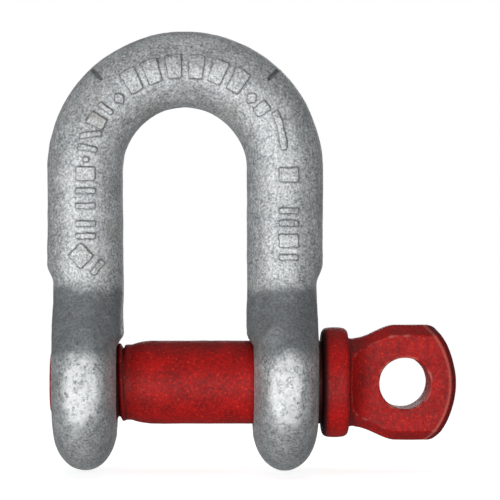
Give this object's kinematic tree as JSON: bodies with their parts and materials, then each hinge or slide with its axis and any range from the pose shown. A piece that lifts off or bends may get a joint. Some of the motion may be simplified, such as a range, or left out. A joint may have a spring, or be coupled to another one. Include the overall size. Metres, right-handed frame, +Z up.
{
  "type": "dee shackle",
  "caption": "Screw-pin dee shackle: a forged, galvanised D-shaped bow closed by a red-painted screw pin with a collar and a flat eye lug.",
  "frame": {"origin": "on the pin's axis, midway between the legs of the bow", "axes": "+X along the pin towards its head, +Z up to the crown, +Y completes the right-handed frame (the bow lies in XZ)"},
  "size_m": [0.1399, 0.0606, 0.1508],
  "materials": {
    "galvanised_forging": "hot-dip galvanised forged steel, matt mottled grey",
    "painted_pin": "deep red paint on forged steel, semi-gloss, worn at the edges"
  },
  "bodies": {
    "bow": {"bow": "galvanised_forging"},
    "pin_slide": {"pin_tip": "painted_pin"},
    "pin": {"screw_pin": "painted_pin"}
  },
  "joints": [
    {"name": "pin_travel", "type": "slide", "parent": "bow", "child": "pin_slide", "axis": [1, 0, 0], "range_m": [-0.0015, 0.09525]},
    {"name": "pin_turn", "type": "hinge", "parent": "pin_slide", "child": "pin", "pos_m": [0, 0, 0], "axis": [1, 0, 0], "range_deg": [-170, 10800]}
  ],
  "couplings": [
    {"joint": "pin_travel", "follows": "pin_turn", "m_per_rad": 0.00050532}
  ]
}
